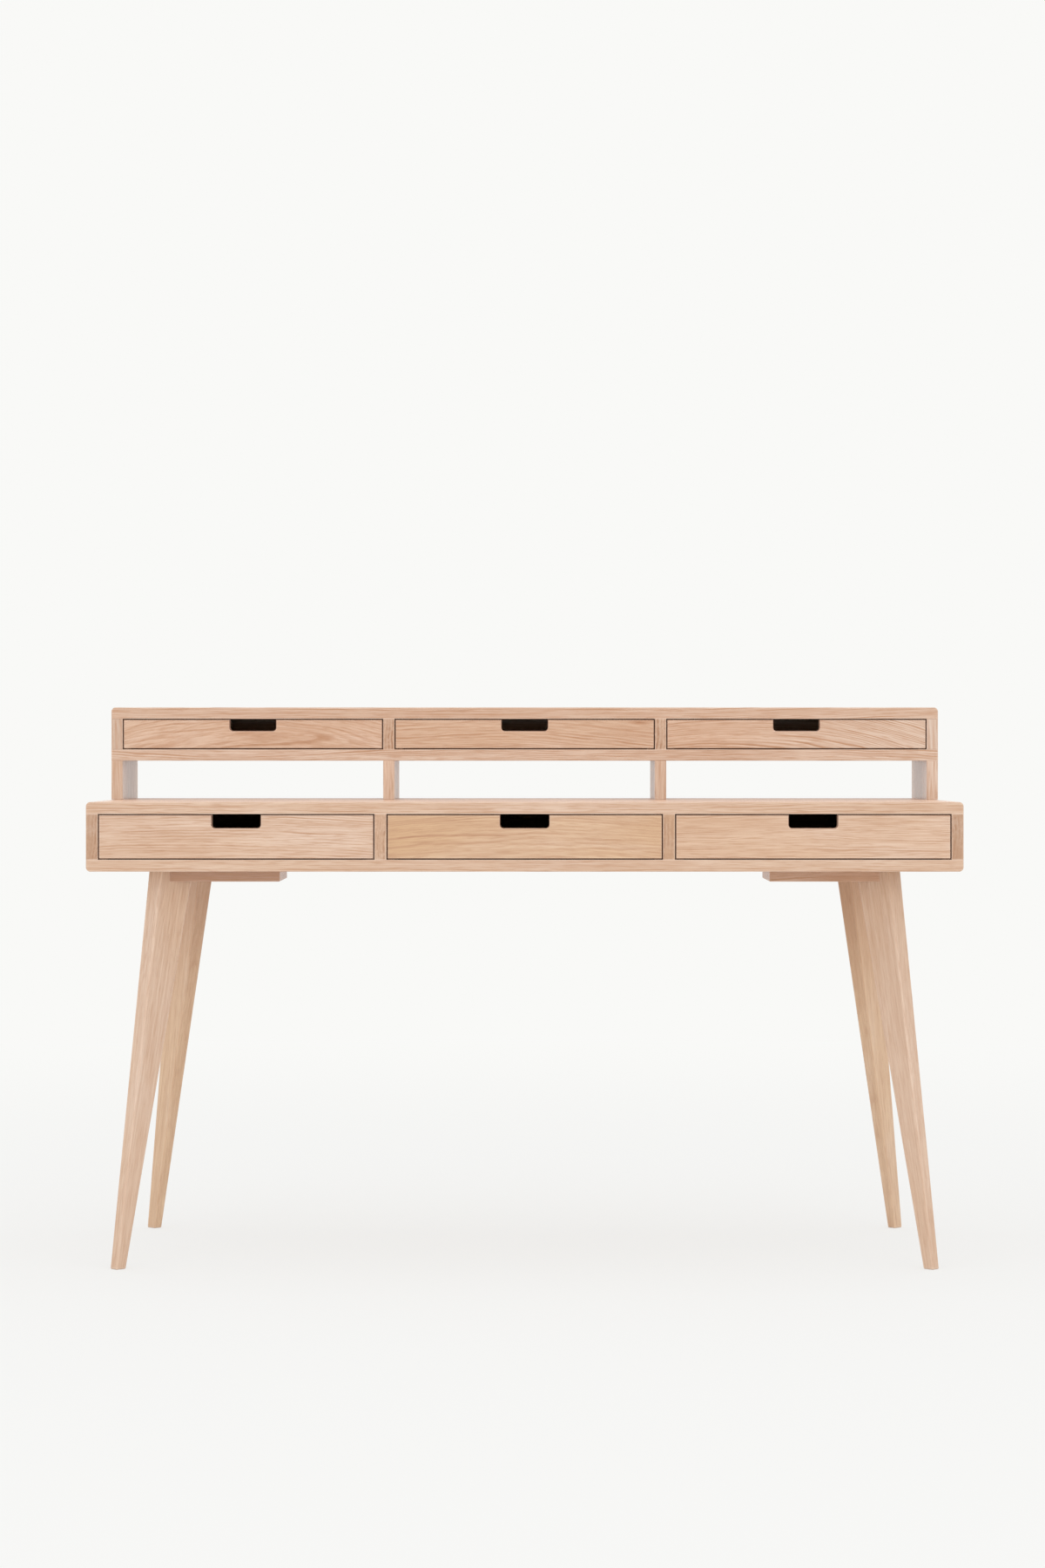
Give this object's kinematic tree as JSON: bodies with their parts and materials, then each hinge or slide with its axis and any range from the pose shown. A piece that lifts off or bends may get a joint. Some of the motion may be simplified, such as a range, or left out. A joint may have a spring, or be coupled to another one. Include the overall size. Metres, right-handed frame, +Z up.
{
  "type": "bonheur du jour",
  "caption": "Light oak writing desk on tapered, diagonally splayed legs, with notched inset drawers in its case and in a raised gallery along the back.",
  "frame": {"origin": "on the floor, under the middle of the case", "axes": "+X to the right along the desk's width, the drawers open towards -Y, +Z up"},
  "size_m": [1.4, 0.6, 0.906],
  "materials": {
    "case_oak": "matt oil on oak boards",
    "front_oak": "matt oil on oak",
    "leg_oak": "matt oil on solid oak",
    "drawer_oak": "sanded oak, unfinished",
    "dowel_beech": "fluted beech",
    "screw_steel": "zinc plated"
  },
  "bodies": {
    "desk": {"desk_top": "case_oak", "desk_bottom": "case_oak", "desk_side_left": "case_oak", "desk_side_right": "case_oak", "desk_divider_left": "case_oak", "desk_divider_right": "case_oak", "desk_back": "case_oak", "upright_outer_left": "case_oak", "upright_inner_left": "case_oak", "upright_inner_right": "case_oak", "upright_outer_right": "case_oak", "gallery_bottom": "case_oak", "gallery_side_left": "case_oak", "gallery_side_right": "case_oak", "gallery_divider_left": "case_oak", "gallery_divider_right": "case_oak", "gallery_top": "case_oak", "gallery_back": "case_oak", "leg_front_left": "leg_oak", "leg_front_right": "leg_oak", "leg_back_left": "leg_oak", "leg_back_right": "leg_oak", "leg_plate_front_left": "leg_oak", "leg_plate_front_right": "leg_oak", "leg_plate_back_left": "leg_oak", "leg_plate_back_right": "leg_oak", "carcass_dowels": "dowel_beech", "leg_plate_screws": "screw_steel"},
    "desk_drawer_left": {"desk_drawer_left_front": "front_oak", "desk_drawer_left_side_left": "drawer_oak", "desk_drawer_left_side_right": "drawer_oak", "desk_drawer_left_back": "drawer_oak", "desk_drawer_left_bottom": "drawer_oak"},
    "desk_drawer_middle": {"desk_drawer_middle_front": "front_oak", "desk_drawer_middle_side_left": "drawer_oak", "desk_drawer_middle_side_right": "drawer_oak", "desk_drawer_middle_back": "drawer_oak", "desk_drawer_middle_bottom": "drawer_oak"},
    "desk_drawer_right": {"desk_drawer_right_front": "front_oak", "desk_drawer_right_side_left": "drawer_oak", "desk_drawer_right_side_right": "drawer_oak", "desk_drawer_right_back": "drawer_oak", "desk_drawer_right_bottom": "drawer_oak"},
    "gallery_drawer_left": {"gallery_drawer_left_front": "front_oak", "gallery_drawer_left_side_left": "drawer_oak", "gallery_drawer_left_side_right": "drawer_oak", "gallery_drawer_left_back": "drawer_oak", "gallery_drawer_left_bottom": "drawer_oak"},
    "gallery_drawer_middle": {"gallery_drawer_middle_front": "front_oak", "gallery_drawer_middle_side_left": "drawer_oak", "gallery_drawer_middle_side_right": "drawer_oak", "gallery_drawer_middle_back": "drawer_oak", "gallery_drawer_middle_bottom": "drawer_oak"},
    "gallery_drawer_right": {"gallery_drawer_right_front": "front_oak", "gallery_drawer_right_side_left": "drawer_oak", "gallery_drawer_right_side_right": "drawer_oak", "gallery_drawer_right_back": "drawer_oak", "gallery_drawer_right_bottom": "drawer_oak"}
  },
  "joints": [
    {"name": "desk_drawer_left_slide", "type": "slide", "parent": "desk", "child": "desk_drawer_left", "axis": [0, -1, 0], "range_m": [0, 0.4]},
    {"name": "desk_drawer_middle_slide", "type": "slide", "parent": "desk", "child": "desk_drawer_middle", "axis": [0, -1, 0], "range_m": [0, 0.4]},
    {"name": "desk_drawer_right_slide", "type": "slide", "parent": "desk", "child": "desk_drawer_right", "axis": [0, -1, 0], "range_m": [0, 0.4]},
    {"name": "gallery_drawer_left_slide", "type": "slide", "parent": "desk", "child": "gallery_drawer_left", "axis": [0, -1, 0], "range_m": [0, 0.15]},
    {"name": "gallery_drawer_middle_slide", "type": "slide", "parent": "desk", "child": "gallery_drawer_middle", "axis": [0, -1, 0], "range_m": [0, 0.15]},
    {"name": "gallery_drawer_right_slide", "type": "slide", "parent": "desk", "child": "gallery_drawer_right", "axis": [0, -1, 0], "range_m": [0, 0.15]}
  ]
}
